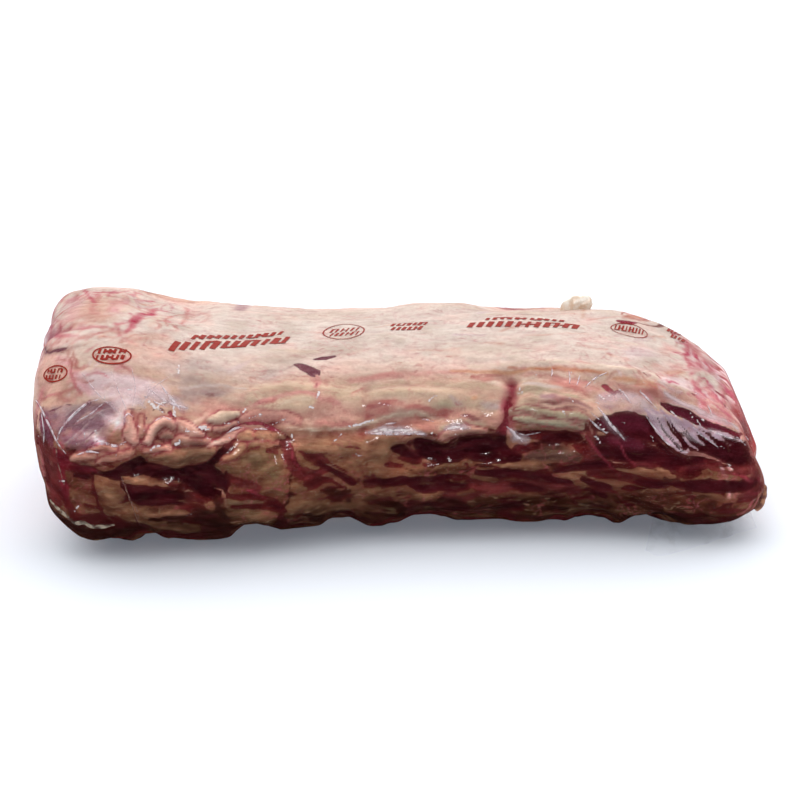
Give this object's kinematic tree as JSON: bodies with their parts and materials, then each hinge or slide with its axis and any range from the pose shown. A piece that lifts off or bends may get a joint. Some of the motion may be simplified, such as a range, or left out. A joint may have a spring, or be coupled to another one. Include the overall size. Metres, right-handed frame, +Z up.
{
  "type": "raw beef rib roast",
  "caption": "Whole boned raw beef rib roast, long and squarish in section, shrunk tight into a clear bag with its loose end lying in front.",
  "frame": {"origin": "middle of the roast's footprint, on the surface it lies on", "axes": "+X along the roast towards the sloping end, -Y towards its fat-lip side, +Z up"},
  "size_m": [0.4273, 0.2009, 0.1235],
  "materials": {
    "filmed_meat": "raw beef and fat seen through tight glossy film",
    "clear_film": "thin clear shrink film, glossy, creased where it gathers",
    "print_ink": "flat brick-red ink under the film's gloss"
  },
  "bodies": {
    "root": {"bagged_rib_roast": "filmed_meat"}
  },
  "joints": []
}
